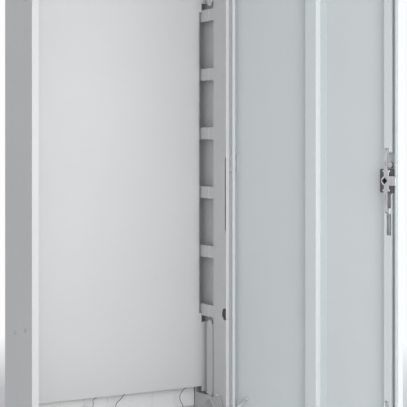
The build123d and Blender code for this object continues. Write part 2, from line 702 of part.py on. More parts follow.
with BuildPart() as lock_stile_lower:
    with BuildSketch(Plane.XY.offset(STILE_BOTTOM)):
        add(sheet_profile(channel_outline(*LOCK_STILE), SHEET, Side.RIGHT))
    extrude(amount=LOCK_GAP_BOTTOM - STILE_BOTTOM)
    with BuildSketch(front_plane(STILE_TOP)):
        for window in LOWER_WINDOWS:
            with Locations((LOCK_X, span(*window)[0])):
                Rectangle(ROD_OPENING, window[1] - window[0])
        with Locations((span(*STILE_OPENING)[0], span(LOWER_OPENING_BOTTOM, LOCK_GAP_BOTTOM)[0])):
            Rectangle(STILE_OPENING[1] - STILE_OPENING[0], LOCK_GAP_BOTTOM - LOWER_OPENING_BOTTOM)
    extrude(amount=SHEET, mode=Mode.SUBTRACT)

with BuildPart() as lock_stile_upper:
    with BuildSketch(Plane.XY.offset(LOCK_GAP_TOP)):
        add(sheet_profile(channel_outline(*LOCK_STILE), SHEET, Side.RIGHT))
    extrude(amount=STILE_END - LOCK_GAP_TOP)
    with BuildSketch(front_plane(STILE_TOP)):
        for window in UPPER_WINDOWS:
            with Locations((LOCK_X, span(*window)[0])):
                Rectangle(ROD_OPENING, window[1] - window[0])
    extrude(amount=SHEET, mode=Mode.SUBTRACT)

RAIL_LEFT = LOCK_STILE[1]
RAIL_RIGHT = DOOR_RIGHT - RAIL_END
TRANSVERSE_HEIGHTS = (
    (STILE_BOTTOM, STILE_BOTTOM + STILE_WIDTH),
    (STILE_END - STILE_WIDTH, STILE_END),
)


def transverse_outline(bottom, top):
    """Channel standing on the door skin between two heights, outer line."""
    return [(STILE_FLOOR, bottom), (STILE_TOP, bottom), (STILE_TOP, top), (STILE_FLOOR, top)]


with BuildPart() as door_bottom_rail:
    with BuildSketch(side_plane(RAIL_LEFT)):
        add(sheet_profile(transverse_outline(*TRANSVERSE_HEIGHTS[0]), SHEET, Side.LEFT))
    extrude(amount=RAIL_RIGHT - RAIL_LEFT)

with BuildPart() as door_top_rail:
    with BuildSketch(side_plane(RAIL_LEFT)):
        add(sheet_profile(transverse_outline(*TRANSVERSE_HEIGHTS[1]), SHEET, Side.LEFT))
    extrude(amount=RAIL_RIGHT - RAIL_LEFT)

STIFFENER_BOTTOM = TRANSVERSE_HEIGHTS[0][1]
STIFFENER_END = TRANSVERSE_HEIGHTS[1][0]
HALF_TOP = STIFFENER_TOP / 2

with BuildPart() as door_stiffener:
    with BuildSketch(Plane.XY.offset(STIFFENER_BOTTOM)):
        add(sheet_profile(
            [(STIFFENER_CENTRE - HALF_TOP - STIFFENER_FLANGE, STILE_FLOOR + SHEET),
             (STIFFENER_CENTRE - HALF_TOP, STILE_FLOOR + SHEET),
             (STIFFENER_CENTRE - HALF_TOP, STILE_TOP),
             (STIFFENER_CENTRE + HALF_TOP, STILE_TOP),
             (STIFFENER_CENTRE + HALF_TOP, STILE_FLOOR + SHEET),
             (STIFFENER_CENTRE + HALF_TOP + STIFFENER_FLANGE, STILE_FLOOR + SHEET)],
            SHEET, Side.RIGHT))
    extrude(amount=STIFFENER_END - STIFFENER_BOTTOM)

# ---- hinges ----
DOOR_LEAF_LEFT = HINGE_X - 15.0
BODY_LEAF_LEFT = HINGE_X - 17.0
BODY_LEAF_RIGHT = SIDE - SHEET
ARM = (-3.5, 2.5)
SIDE_KNUCKLE = (HINGE_LENGTH - DOOR_KNUCKLE) / 2 - KNUCKLE_GAP
KNUCKLE_OFFSET = HINGE_LENGTH / 2 - SIDE_KNUCKLE / 2

with BuildPart() as hinge_body_leaves:
    for z in HINGE_HEIGHTS:
        for end in (-1, 1):
            low = z + end * KNUCKLE_OFFSET - SIDE_KNUCKLE / 2
            with BuildSketch(Plane.XY.offset(low)):
                with Locations((HINGE_X, HINGE_Y)):
                    Circle(KNUCKLE_RADIUS)
                with Locations((HINGE_X + span(*ARM)[0], (HINGE_Y + FLANGE_BACK) / 2)):
                    Rectangle(ARM[1] - ARM[0], FLANGE_BACK - HINGE_Y)
                with Locations((HINGE_X, HINGE_Y)):
                    Circle(PIN_RADIUS, mode=Mode.SUBTRACT)
            extrude(amount=SIDE_KNUCKLE)
        with BuildSketch(front_plane(FLANGE_BACK + LEAF_SHEET)):
            with Locations((span(BODY_LEAF_LEFT, BODY_LEAF_RIGHT)[0], z)):
                Rectangle(BODY_LEAF_RIGHT - BODY_LEAF_LEFT, HINGE_LENGTH)
        extrude(amount=LEAF_SHEET)

with BuildPart() as hinge_door_leaves:
    for z in HINGE_HEIGHTS:
        with BuildSketch(Plane.XY.offset(z - DOOR_KNUCKLE / 2)):
            with Locations((HINGE_X, HINGE_Y)):
                Circle(KNUCKLE_RADIUS)
            with Locations((HINGE_X, (HINGE_Y + DOOR_SKIN_IN) / 2)):
                Rectangle(ARM[1] - ARM[0], HINGE_Y - DOOR_SKIN_IN)
            with Locations((HINGE_X, HINGE_Y)):
                Circle(PIN_RADIUS + PIN_CLEARANCE, mode=Mode.SUBTRACT)
        extrude(amount=DOOR_KNUCKLE)
        with BuildSketch(front_plane(DOOR_SKIN_IN + LEAF_SHEET)):
            with Locations((span(DOOR_LEAF_LEFT, HINGE_X + 3)[0], z)):
                Rectangle(HINGE_X + 3 - DOOR_LEAF_LEFT, HINGE_LENGTH)
        extrude(amount=LEAF_SHEET)

with BuildPart() as hinge_pins:
    for z in HINGE_HEIGHTS:
        with BuildSketch(Plane.XY.offset(z - HINGE_LENGTH / 2 - 1)):
            with Locations((HINGE_X, HINGE_Y)):
                Circle(PIN_RADIUS)
        extrude(amount=HINGE_LENGTH + 1)
        with BuildSketch(Plane.XY.offset(z + HINGE_LENGTH / 2)):
            with Locations((HINGE_X, HINGE_Y)):
                Circle(PIN_RADIUS + 1.4)
        extrude(amount=1.6)

# ================= three-point lock =================

with BuildPart() as lock_housing:
    with BuildSketch(front_plane(HOUSING_TOP)):
        with Locations((LOCK_X, LOCK_Z)):
            RectangleRounded(*HOUSING, 4)
    extrude(amount=HOUSING_TOP - DOOR_SKIN_IN)
    fillet(faces().sort_by(Axis.Y)[-1].edges(), 2)
    with BuildSketch(front_plane(HOUSING_TOP)):
        with Locations((LOCK_X, LOCK_Z)):
            Circle(SHAFT_RADIUS + SHAFT_CLEARANCE)
    extrude(amount=HOUSING_TOP - DOOR_SKIN_IN, mode=Mode.SUBTRACT)

with BuildPart() as lock_cover:
    with BuildSketch(front_plane(HOUSING_TOP + COVER_SHEET)):
        with Locations((LOCK_X, LOCK_Z)):
            RectangleRounded(*COVER_STRIP, 2)
            with GridLocations(0, COVER_STRIP[1] - COVER_END[1], 1, 2):
                RectangleRounded(*COVER_END, 2)
            Circle(CAM_RADIUS)
            Circle(SHAFT_RADIUS + 0.5, mode=Mode.SUBTRACT)
    extrude(amount=COVER_SHEET)
    chamfer(faces().sort_by(Axis.Y)[-1].outer_wire().edges(), 0.4)

HANDLE_FRONT = DOOR_SKIN_Y - ESCUTCHEON[2]
HANDLE_GAP = 0.3
SPINDLE_END = 2.5

with BuildPart() as lock_spindle:
    with BuildSketch(front_plane(CAM_Y)):
        with Locations((LOCK_X, LOCK_Z)):
            Circle(SHAFT_RADIUS)
    extrude(amount=CAM_Y - HANDLE_FRONT + HANDLE_GAP)
    with BuildSketch(front_plane(CAM_Y)):
        with Locations((LOCK_X, LOCK_Z)):
            Rectangle(SPINDLE_SQUARE, SPINDLE_SQUARE, rotation=45)
    extrude(amount=-(CAM_SHEET + SPINDLE_END))
    chamfer(faces().sort_by(Axis.Y)[-1].edges(), 0.7)

with BuildPart() as lock_cam:
    with BuildSketch(front_plane(CAM_Y + CAM_SHEET)):
        with Locations((LOCK_X, LOCK_Z)):
            Circle(CAM_RADIUS)
        with Locations((span(TONGUE_TIP, LOCK_X)[0], LOCK_Z)):
            Rectangle(LOCK_X - TONGUE_TIP, TONGUE_HEIGHT)
    extrude(amount=CAM_SHEET)
    fillet(edges().filter_by(Axis.Y).group_by(Axis.X)[0], 5)
    with BuildSketch(front_plane(CAM_Y + CAM_SHEET)):
        with Locations((LOCK_X, LOCK_Z)):
            Rectangle(SPINDLE_SQUARE, SPINDLE_SQUARE, rotation=45)
    extrude(amount=CAM_SHEET, mode=Mode.SUBTRACT)
    chamfer(faces().sort_by(Axis.Y)[-1].outer_wire().edges(), 0.6)


def rod_line(side, exit_z, end_z):
    """Underside of a folded rod from the cam to its end: link, run inside the stile, locking end."""
    link_end = LOCK_Z + side * LINK_END
    return [
        (ROD_LINK_Y, LOCK_Z + side * LINK_START),
        (ROD_LINK_Y, link_end),
        (ROD_INNER_Y, link_end + side * ROD_JOGGLE),
        (ROD_INNER_Y, exit_z),
        (ROD_END_Y, exit_z + side * ROD_JOGGLE),
        (ROD_END_Y, end_z),
    ]


LINK_SLOT = (18.0, 4.5)
RIVET = 2.6


def rod(side, exit_z, end_z):
    """Flat lock rod with a slotted link section beside the cam, where side is +1 up, -1 down."""
    with BuildPart() as piece:
        with BuildSketch(side_plane(LOCK_X - ROD_WIDTH / 2)):
            add(sheet_profile(
                rod_line(side, exit_z, end_z), ROD_SHEET, Side.RIGHT if side > 0 else Side.LEFT))
        extrude(amount=ROD_WIDTH)
        with BuildSketch(front_plane(ROD_LINK_Y + ROD_SHEET)):
            with Locations((LOCK_X, LOCK_Z + side * (LINK_START + 20))):
                SlotOverall(*LINK_SLOT, rotation=90)
        extrude(amount=ROD_SHEET, mode=Mode.SUBTRACT)
        with BuildSketch(front_plane(ROD_LINK_Y + ROD_SHEET)):
            with Locations((LOCK_X, LOCK_Z + side * (LINK_END - 10))):
                Circle(RIVET)
        extrude(amount=-1.2)
    return piece


upper_rod = rod(1, UPPER_EXIT, ROD_TOP)
lower_rod = rod(-1, LOWER_EXIT, ROD_BOTTOM)

GUIDE_HEIGHT = 24.0
GUIDE_CLEARANCE = 0.25
STILE_INSIDE = (LOCK_STILE[0] + SHEET, LOCK_STILE[1] - SHEET)

with BuildPart() as rod_guides:
    for z in GUIDE_HEIGHTS:
        with BuildSketch(Plane.XY.offset(z - GUIDE_HEIGHT / 2)):
            with Locations((span(*STILE_INSIDE)[0], span(STILE_FLOOR, STILE_TOP - SHEET)[0])):
                Rectangle(STILE_INSIDE[1] - STILE_INSIDE[0], STILE_TOP - SHEET - STILE_FLOOR)
            with Locations((LOCK_X, ROD_INNER_Y + ROD_SHEET / 2)):
                Rectangle(ROD_WIDTH + 2 * GUIDE_CLEARANCE, ROD_SHEET + 2 * GUIDE_CLEARANCE,
                          mode=Mode.SUBTRACT)
        extrude(amount=GUIDE_HEIGHT)

CLIP_SPAN = (DOOR_LEFT + 30.5, DOOR_LEFT + 39.0)
CLIP_ZS = (840.0, 860.0)

with BuildPart() as rod_clip:
    with BuildSketch(front_plane(STILE_TOP + 4)):
        with Locations((span(*CLIP_SPAN)[0], span(*CLIP_ZS)[0])):
            RectangleRounded(CLIP_SPAN[1] - CLIP_SPAN[0], CLIP_ZS[1] - CLIP_ZS[0], 2)
    extrude(amount=STILE_TOP + 4 - STILE_FLOOR)
    chamfer(faces().sort_by(Axis.Y)[-1].edges(), 1)

with BuildPart() as handle_escutcheon:
    with BuildSketch(front_plane(DOOR_SKIN_Y)):
        with Locations((LOCK_X, ESCUTCHEON_Z)):
            RectangleRounded(ESCUTCHEON[0], ESCUTCHEON[1], 12)
    extrude(amount=ESCUTCHEON[2])
    fillet(faces().sort_by(Axis.Y)[0].edges(), 2)
    with BuildSketch(front_plane(DOOR_SKIN_Y)):
        with Locations((LOCK_X, LOCK_Z)):
            Circle(SHAFT_RADIUS + SHAFT_CLEARANCE)
        with Locations((LOCK_X, KEY_Z)):
            Circle(KEY_RADIUS + SHAFT_CLEARANCE)
    extrude(amount=ESCUTCHEON[2], mode=Mode.SUBTRACT)

GRIP_FRONT = HANDLE_FRONT - 34.0

with BuildPart() as door_handle:
    with BuildSketch(front_plane(HANDLE_FRONT - HANDLE_GAP)):
        with Locations((LOCK_X, LOCK_Z)):
            Circle(14)
    extrude(amount=HANDLE_FRONT - HANDLE_GAP - GRIP_FRONT - 14)
    with BuildSketch(front_plane(GRIP_FRONT + 14)):
        with Locations((LOCK_X, LOCK_Z)):
            Circle(15)
        with Locations((LOCK_X, LOCK_Z - HANDLE_LENGTH + 10)):
            Circle(10)
        make_hull()
    extrude(amount=14)
    fillet(faces().sort_by(Axis.Y)[0].edges(), 4)

with BuildPart() as key_barrel:
    with BuildSketch(front_plane(DOOR_SKIN_IN + 6)):
        with Locations((LOCK_X, KEY_Z)):
            Circle(KEY_RADIUS)
    extrude(amount=DOOR_SKIN_IN + 6 - HANDLE_FRONT + 3)
    chamfer(faces().sort_by(Axis.Y)[0].edges(), 0.8)
    with BuildSketch(front_plane(HANDLE_FRONT - 3)):
        with Locations((LOCK_X, KEY_Z)):
            Rectangle(2.2, 10)
    extrude(amount=-5, mode=Mode.SUBTRACT)

# ---- earth studs ----
DOOR_EARTH_X = DOOR_RIGHT - 70.0

with BuildPart() as door_earth_stud:
    with BuildSketch(front_plane(DOOR_SKIN_IN)):
        with Locations((DOOR_EARTH_X, EARTH_Z)):
            Circle(STUD_RADIUS)
    extrude(amount=-18)
    with BuildSketch(front_plane(DOOR_SKIN_IN)):
        with Locations((DOOR_EARTH_X, EARTH_Z)):
            RegularPolygon(5.8, 6)
    extrude(amount=-5)

with BuildPart() as body_earth_stud:
    with BuildSketch(side_plane(INNER_SIDE)):
        with Locations((FRONT + 50, EARTH_Z)):
            Circle(STUD_RADIUS)
    extrude(amount=-18)
    with BuildSketch(side_plane(INNER_SIDE)):
        with Locations((FRONT + 50, EARTH_Z)):
            RegularPolygon(5.8, 6)
    extrude(amount=-5)

DOOR_PIECES = (
    door_panel, door_gasket, lock_stile_lower, lock_stile_upper, door_bottom_rail, door_top_rail,
    door_stiffener, hinge_door_leaves, lock_housing, lock_cover, lock_spindle, lock_cam,
    upper_rod, lower_rod, rod_guides, rod_clip, handle_escutcheon, door_handle,
    key_barrel, door_earth_stud,
)
for piece in DOOR_PIECES:
    swing_open(piece)

PIECES = {
    "left_side_wall": left_side_wall,
    "right_side_wall": right_side_wall,
    "roof_panel": roof_panel,
    "base_frame": base_frame,
    "floor_fixing_plates": floor_fixing_plates,
    "gland_seals": gland_seals,
    "gland_plates": gland_plates,
    "gland_plate_screws": gland_plate_screws,
    "rear_panel": rear_panel,
    "rear_panel_screws": rear_panel_screws,
    "rear_base_rail": rear_base_rail,
    "left_upright": left_upright,
    "right_upright": right_upright,
    "upright_caps": upright_caps,
    "side_plugs": side_plugs,
    "mounting_plate": mounting_plate,
    "plate_brackets": plate_brackets,
    "plate_studs": plate_studs,
    "plate_nuts": plate_nuts,
    "earth_leads": earth_leads,
    "lifting_eyes": lifting_eyes,
    "lifting_eye_nuts": lifting_eye_nuts,
    "body_earth_stud": body_earth_stud,
    "hinge_body_leaves": hinge_body_leaves,
    "hinge_pins": hinge_pins,
    "hinge_door_leaves": hinge_door_leaves,
    "door_panel": door_panel,
    "door_gasket": door_gasket,
    "lock_stile_lower": lock_stile_lower,
    "lock_stile_upper": lock_stile_upper,
    "door_bottom_rail": door_bottom_rail,
    "door_top_rail": door_top_rail,
    "door_stiffener": door_stiffener,
    "door_earth_stud": door_earth_stud,
    "lock_housing": lock_housing,
    "lock_cover": lock_cover,
    "handle_escutcheon": handle_escutcheon,
    "rod_guides": rod_guides,
    "rod_clip": rod_clip,
    "lock_spindle": lock_spindle,
    "lock_cam": lock_cam,
    "door_handle": door_handle,
    "upper_rod": upper_rod,
    "lower_rod": lower_rod,
    "key_barrel": key_barrel,
}
os.makedirs("parts", exist_ok=True)
for label, piece in PIECES.items():
    piece.part.label = label
    export_step(piece.part, f"parts/{label}.step")
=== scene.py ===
import json
import math

import bmesh
import bpy
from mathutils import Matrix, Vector


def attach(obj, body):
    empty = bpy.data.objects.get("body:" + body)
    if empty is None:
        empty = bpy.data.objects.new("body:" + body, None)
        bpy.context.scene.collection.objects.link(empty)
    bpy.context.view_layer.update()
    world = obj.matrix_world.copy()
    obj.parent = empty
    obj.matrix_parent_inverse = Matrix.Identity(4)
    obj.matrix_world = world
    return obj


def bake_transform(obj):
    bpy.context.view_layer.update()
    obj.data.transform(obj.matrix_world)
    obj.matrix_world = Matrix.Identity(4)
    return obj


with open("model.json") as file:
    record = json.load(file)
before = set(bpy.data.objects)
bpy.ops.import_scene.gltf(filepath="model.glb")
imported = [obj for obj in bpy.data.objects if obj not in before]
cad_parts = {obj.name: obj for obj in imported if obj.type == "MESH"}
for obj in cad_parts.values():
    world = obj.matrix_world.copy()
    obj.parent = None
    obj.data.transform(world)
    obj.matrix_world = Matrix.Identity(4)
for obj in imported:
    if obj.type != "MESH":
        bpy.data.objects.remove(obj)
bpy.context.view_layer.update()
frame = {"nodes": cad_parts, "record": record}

NODES = frame["nodes"]
RECORD = frame["record"]
MM = 0.001


# ---------------------------------------------------------------- materials

class Shader:
    """A node material under construction, with short calls for the nodes used here."""

    def __init__(self, name):
        self.material = bpy.data.materials.new(name)
        self.material.use_nodes = True
        self.tree = self.material.node_tree
        self.surface = self.tree.nodes["Principled BSDF"]
        self.position = self.tree.nodes.new("ShaderNodeTexCoord").outputs["Object"]

    def node(self, kind, **values):
        made = self.tree.nodes.new(kind)
        for key, value in values.items():
            setattr(made, key, value)
        return made

    def link(self, source, target):
        self.tree.links.new(source, target)

    def scaled(self, x, y, z):
        """Object position stretched along each axis."""
        mapping = self.node("ShaderNodeMapping")
        mapping.inputs["Scale"].default_value = (x, y, z)
        self.link(self.position, mapping.inputs["Vector"])
        return mapping.outputs["Vector"]

    def noise(self, size, detail=3.0, roughness=0.5, vector=None):
        """Noise whose features are about size metres across, 0 to 1."""
        made = self.node("ShaderNodeTexNoise")
        made.inputs["Scale"].default_value = 1.0 / size
        made.inputs["Detail"].default_value = detail
        made.inputs["Roughness"].default_value = roughness
        self.link(vector or self.position, made.inputs["Vector"])
        return made.outputs["Fac"]

    def cells(self, size, output="Distance"):
        """Cell pattern whose cells are about size metres across."""
        made = self.node("ShaderNodeTexVoronoi", feature="F1")
        made.inputs["Scale"].default_value = 1.0 / size
        self.link(self.position, made.inputs["Vector"])
        return made.outputs[output]

    def spread(self, value, low, high, start=0.3, end=0.7):
        """Maps a value from start..end to low..high."""
        made = self.node("ShaderNodeMapRange")
        made.inputs["From Min"].default_value = start
        made.inputs["From Max"].default_value = end
        made.inputs["To Min"].default_value = low
        made.inputs["To Max"].default_value = high
        self.link(value, made.inputs["Value"])
        return made.outputs["Result"]

    def tone(self, value, dark, light, start=0.3, end=0.7):
        """Colour between dark and light as value goes from start to end."""
        made = self.node("ShaderNodeValToRGB")
        made.color_ramp.elements[0].position = start
        made.color_ramp.elements[0].color = (*dark, 1)
        made.color_ramp.elements[1].position = end
        made.color_ramp.elements[1].color = (*light, 1)
        self.link(value, made.inputs["Fac"])
        return made.outputs["Color"]

    def multiply(self, first, second):
        made = self.node("ShaderNodeMix", data_type="RGBA", blend_type="MULTIPLY")
        made.inputs["Factor"].default_value = 1.0
        self.link(first, made.inputs[6])
        self.link(second, made.inputs[7])
        return made.outputs[2]

    def bump(self, height, depth, strength=1.0, below=None):
        made = self.node("ShaderNodeBump")
        made.inputs["Distance"].default_value = depth
        made.inputs["Strength"].default_value = strength
        self.link(height, made.inputs["Height"])
        if below is not None:
            self.link(below, made.inputs["Normal"])
        return made.outputs["Normal"]

    def set(self, name, value):
        target = self.surface.inputs[name]
        if hasattr(value, "node"):
            self.link(value, target)
        else:
            target.default_value = value


def shade(color, factor):
    return tuple(min(1.0, c * factor) for c in color)


def powder_coat(name, color, grain=0.0011, depth=0.00006, roughness=0.42):
    """Baked powder paint: fine orange peel over a slow waviness of the sheet, faint tone drift."""
    s = Shader(name)
    drift = s.noise(0.35, 2.0)
    speck = s.noise(grain * 0.8, 2.0)
    base = s.tone(drift, shade(color, 0.985), shade(color, 1.01))
    flecks = s.tone(speck, (0.965, 0.965, 0.965), (1, 1, 1), 0.28, 0.5)
    s.set("Base Color", s.multiply(base, flecks))
    s.set("Roughness", s.spread(s.noise(0.02, 3.0), roughness - 0.05, roughness + 0.07))
    waviness = s.bump(s.noise(0.16, 1.0), 0.0006, 0.35)
    peel = s.bump(s.noise(grain, 2.0, 0.55), depth, 0.55, waviness)
    s.set("Normal", peel)
    s.set("Specular IOR Level", 0.45)
    s.set("Coat Weight", 0.06)
    s.set("Coat Roughness", 0.25)
    return s.material


def zinc(name, color, roughness=0.34, spangle=0.004):
    """Zinc-plated steel: small spangle, drawn hairlines, clouded roughness."""
    s = Shader(name)
    crystals = s.cells(spangle, output="Color")
    grey = s.node("ShaderNodeRGBToBW")
    s.link(crystals, grey.inputs["Color"])
    base = s.tone(grey.outputs["Val"], shade(color, 0.9), shade(color, 1.06), 0.1, 0.9)
    clouds = s.tone(s.noise(0.03, 4.0), (0.9, 0.9, 0.91), (1, 1, 1))
    s.set("Base Color", s.multiply(base, clouds))
    s.set("Metallic", 0.85)
    s.set("Roughness", s.spread(s.noise(0.006, 4.0), roughness - 0.07, roughness + 0.12))
    hairlines = s.noise(0.0006, 2.0, vector=s.scaled(1, 1, 0.06))
    s.set("Normal", s.bump(hairlines, 0.00002, 0.5))
    return s.material


def moulded(name, color, grain=0.0007, roughness=0.5, depth=0.00005):
    """Moulded plastic or rubber with a fine eroded grain."""
    s = Shader(name)
    base = s.tone(s.noise(0.012, 3.0), shade(color, 0.88), shade(color, 1.12))
    s.set("Base Color", base)
    s.set("Roughness", s.spread(s.noise(0.004, 3.0), roughness - 0.08, roughness + 0.1))
    s.set("Normal", s.bump(s.cells(grain), depth, 0.6))
    return s.material


def foam(name, color):
    """Poured foam seal: open pores and a soft skin."""
    s = Shader(name)
    pores = s.cells(0.0012)
    # The pores are painted darker than the skin: painted shade in the pits.
    base = s.tone(pores, shade(color, 0.82), color, 0.05, 0.45)
    s.set("Base Color", s.multiply(base, s.tone(s.noise(0.04, 3.0), (0.94,) * 3, (1, 1, 1))))
    s.set("Roughness", 0.88)
    s.set("Normal", s.bump(pores, 0.00025, 0.8))
    s.set("Sheen Weight", 0.15)
    return s.material


LIGHT_GREY = (0.60, 0.605, 0.605)
# painted light: the door's paint is a lighter, bluer copy of the cabinet grey, standing in for the light
# on the door's inner face
DOOR_GREY_PAINTED_LIGHT = (0.65, 0.685, 0.695)
PLATE_GREY = (0.57, 0.57, 0.57)
# painted light: a lighter copy of the grey paint for the rear base rail, standing in for the light it
# lacks in the shade below the mounting plate
RAIL_GREY_PAINTED_LIGHT = (0.78, 0.78, 0.78)
SHEET_EDGE = 0.35 * MM
MATERIALS = {
    "light_grey_paint": powder_coat("light_grey_paint", LIGHT_GREY),
    # door_paint is the lighter copy of the grey paint: painted light on the door
    "door_paint": powder_coat("door_paint", DOOR_GREY_PAINTED_LIGHT),
    "plate_paint": powder_coat("plate_paint", PLATE_GREY, 0.0016, 0.00004, 0.4),
    "zinc_steel": zinc("zinc_steel", (0.80, 0.81, 0.82)),
    "cast_steel": zinc("cast_steel", (0.55, 0.56, 0.57), 0.42, 0.002),
    "dark_steel": zinc("dark_steel", (0.02, 0.02, 0.022), 0.38, 0.002),
    "chrome": zinc("chrome", (0.82, 0.82, 0.83), 0.16, 0.01),
    "black_plastic": moulded("black_plastic", (0.09, 0.09, 0.095)),
    "grey_plastic": moulded("grey_plastic", (0.5, 0.51, 0.51)),
    "black_rubber": moulded("black_rubber", (0.02, 0.02, 0.021), 0.001, 0.7),
    "gasket_foam": foam("gasket_foam", (0.62, 0.65, 0.66)),
    "lead_insulation": moulded("lead_insulation", (0.16, 0.165, 0.155), 0.0008, 0.45),
}

for part in RECORD["subparts"]:
    NODES[part["node"]].data.materials.clear()
    NODES[part["node"]].data.materials.append(MATERIALS[part["material_slot"]])


# The rear base rail gets the lighter copy of the grey paint: painted light in place of the shade below
# the mounting plate.
NODES["rear_base_rail"].data.materials[0] = powder_coat("rail_paint_painted_light", RAIL_GREY_PAINTED_LIGHT)


def soften_edges(name, width, segments=2):
    """Rounds a CAD node's sharp edges, without changing the node's own mesh."""
    piece = NODES[name]
    weld = piece.modifiers.new("weld", "WELD")
    weld.merge_threshold = 0.000002
    bevel = piece.modifiers.new("edge", "BEVEL")
    bevel.width = width
    bevel.segments = segments
    bevel.limit_method = "ANGLE"
    bevel.angle_limit = math.radians(35)
    bevel.harden_normals = True


SHEET_PARTS = (
    "left_side_wall", "right_side_wall", "roof_panel", "base_frame", "rear_panel", "door_panel",
    "lock_stile_lower", "lock_stile_upper", "door_bottom_rail", "door_top_rail", "door_stiffener",
    "left_upright", "right_upright", "mounting_plate", "rear_base_rail",
)
for sheet_part in SHEET_PARTS:
    soften_edges(sheet_part, SHEET_EDGE)


# ---------------------------------------------------------------- door earth strap

def smooth_path(points, steps):
    """Points along a Catmull-Rom curve through the given points."""
    places = [Vector(p) for p in points]
    places = [2 * places[0] - places[1], *places, 2 * places[-1] - places[-2]]
    path = []
    for a, b, c, d in zip(places, places[1:], places[2:], places[3:]):
        for i in range(steps):
            t = i / steps
            path.append(0.5 * (
                2 * b + (c - a) * t + (2 * a - 5 * b + 4 * c - d) * t * t
                + (3 * b - a - 3 * c + d) * t * t * t))
    path.append(places[-2])
    return path


def frames_along(path):
    """Centre, across (upright) and through (level) directions at each point of a path."""
    for i, centre in enumerate(path):
        along = (path[min(i + 1, len(path) - 1)] - path[max(i - 1, 0)]).normalized()
        through = along.cross(Vector((0, 0, 1))).normalized()
        yield centre, through.cross(along).normalized(), through


SKEW = Vector((0.31, 0.17, 0.93))  # a direction that no strand runs along


def add_tube(form, centres, radius, sides=6):
    """A closed tube through the given centres."""
    rings = []
    for i, centre in enumerate(centres):
        along = (centres[min(i + 1, len(centres) - 1)] - centres[max(i - 1, 0)]).normalized()
        level = along.cross(SKEW).normalized()
        other = along.cross(level)
        turn = [2 * math.pi * k / sides for k in range(sides)]
        outs = [math.cos(a) * level + math.sin(a) * other for a in turn]
        rings.append([form.verts.new(centre + radius * out) for out in outs])
    for first, second in zip(rings, rings[1:]):
        for k in range(sides):
            form.faces.new((first[k], first[(k + 1) % sides], second[(k + 1) % sides], second[k]))
    form.faces.new(reversed(rings[0]))
    form.faces.new(rings[-1])


def finished(name, form, material, smooth=True):
    """Turns a bmesh into a scene object with one material."""
    bmesh.ops.recalc_face_normals(form, faces=form.faces)
    mesh = bpy.data.meshes.new(name)
    form.to_mesh(mesh)
    form.free()
    mesh.materials.append(MATERIALS[material])
    for face in mesh.polygons:
        face.use_smooth = smooth
    piece = bpy.data.objects.new(name, mesh)
    bpy.context.scene.collection.objects.link(piece)
    return piece


BRAID_HALF = (4.2 * MM, 1.0 * MM)
BRAID_STRANDS = 10
BRAID_TURNS = 9
STRAND_RADIUS = 0.55 * MM


def braid(name, path):
    """Flat braid: strands wound both ways round a flat section, passing over and under each other."""
    form = bmesh.new()
    stations = list(frames_along(path))
    last = len(stations) - 1
    for hand in (-1, 1):
        for strand in range(BRAID_STRANDS):
            centres = []
            for i, (centre, across, through) in enumerate(stations):
                angle = 2 * math.pi * (strand / BRAID_STRANDS + hand * BRAID_TURNS * i / last)
                lift = 1 + 0.25 * math.sin(BRAID_STRANDS * angle / 2 + hand * math.pi / 2)
                centres.append(
                    centre + BRAID_HALF[0] * math.cos(angle) * across
                    + BRAID_HALF[1] * lift * math.sin(angle) * through)
            add_tube(form, centres, STRAND_RADIUS)
    return finished(name, form, "zinc_steel")


def add_ring(form, centre, axis, profile, sides=40):
    """A ring of revolution: profile is a closed loop of (radius, height) about axis at centre."""
    level = axis.cross(Vector((0, 0, 1))).normalized()
    other = axis.cross(level)
    rings = []
    for k in range(sides):
        turn = 2 * math.pi * k / sides
        out = math.cos(turn) * level + math.sin(turn) * other
        rings.append([form.verts.new(centre + r * out + h * axis) for r, h in profile])
    count = len(profile)
    for k in range(sides):
        first, second = rings[k], rings[(k + 1) % sides]
        for i in range(count):
            j = (i + 1) % count
            form.faces.new((first[i], first[j], second[j], second[i]))


LUG_SHEET = 1.2 * MM
LUG_BARREL_SIDES = 16
LUG_BARREL_STEP = 1.2 * MM
LUG_BARREL_WIDTHS = (1.5, 2.6, 3.3, 3.5, 3.5, 3.0, 3.5, 3.0, 3.5, 3.5, 3.3)
LUG_RING = [(3.15, 0), (7.0, 0), (7.4, 0.3), (7.4, 0.9), (7.0, 1.2), (3.15, 1.2)]
WASHER_RING = [(3.1, 0), (5.8, 0), (6.0, 0.2), (6.0, 0.8), (5.8, 1.0), (3.1, 1.0)]


def ring_lug(name, centre, axis, towards):
    """Ring terminal flat on a stud with a crimped barrel pointing towards the braid."""
    form = bmesh.new()
    add_ring(form, centre, axis, [(r * MM, h * MM) for r, h in LUG_RING])
    out = (towards - towards.dot(axis) * axis).normalized()
    start = centre + 0.9 * MM * axis + 7.2 * MM * out
    barrel = [start + i * LUG_BARREL_STEP * out for i in range(len(LUG_BARREL_WIDTHS))]
    across = axis.cross(out)
    rings = []
    for place, width in zip(barrel, LUG_BARREL_WIDTHS):
        ring = []
        for k in range(LUG_BARREL_SIDES):
            turn = 2 * math.pi * k / LUG_BARREL_SIDES
            ring.append(form.verts.new(
                place + (width + 1.2) * MM * math.cos(turn) * across
                + (0.5 * width + 0.1) * MM * math.sin(turn) * axis))
        rings.append(ring)
    for first, second in zip(rings, rings[1:]):
        for k in range(LUG_BARREL_SIDES):
            after = (k + 1) % LUG_BARREL_SIDES
            form.faces.new((first[k], first[after], second[after], second[k]))
    form.faces.new(reversed(rings[0]))
    form.faces.new(rings[-1])
    return finished(name, form, "zinc_steel"), barrel[-1]


NUT_SIDES = 36
# radius, height and whether the layer follows the hexagon
NUT_LAYERS = ((3.1, 1.0, 0), (4.9, 1.0, 0), (5.77, 1.5, 1), (5.77, 5.2, 1), (4.9, 5.8, 0), (3.1, 5.8, 0))


